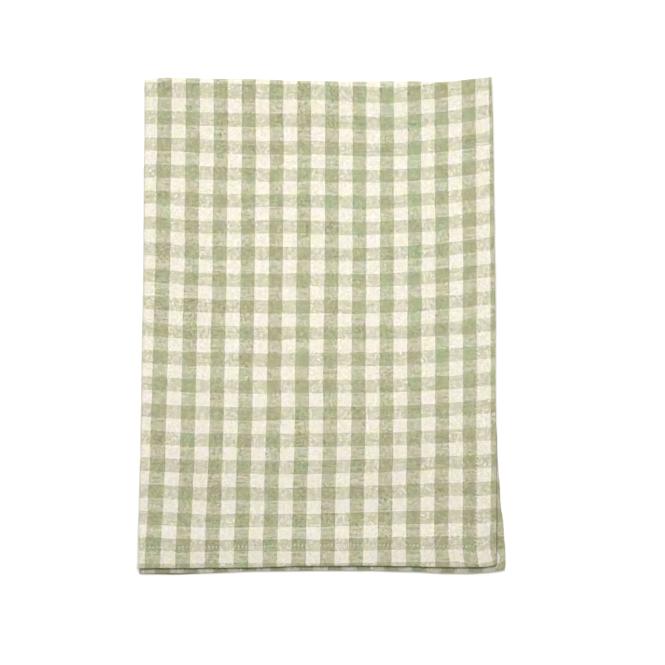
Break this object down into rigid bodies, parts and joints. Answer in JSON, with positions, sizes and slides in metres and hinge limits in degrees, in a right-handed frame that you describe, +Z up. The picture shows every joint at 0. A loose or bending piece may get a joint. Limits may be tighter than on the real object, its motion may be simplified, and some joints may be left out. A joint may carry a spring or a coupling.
{
  "type": "tea towel",
  "caption": "Woven cotton tea towel in a pale green and cream gingham check with stitched hems, folded in quarters and lying flat.",
  "frame": {"origin": "on the surface that the towel lies on, under the middle of its box", "axes": "+X from the lengthwise fold to the side hems, +Y from the end hems to the crosswise fold, +Z up out of the top layer"},
  "size_m": [0.2622, 0.3548, 0.0088],
  "materials": {
    "cotton_gingham": "plain-woven yarn-dyed cotton gingham, sage green and cream, matt"
  },
  "bodies": {
    "root": {"towel_cloth": "cotton_gingham"}
  },
  "joints": []
}
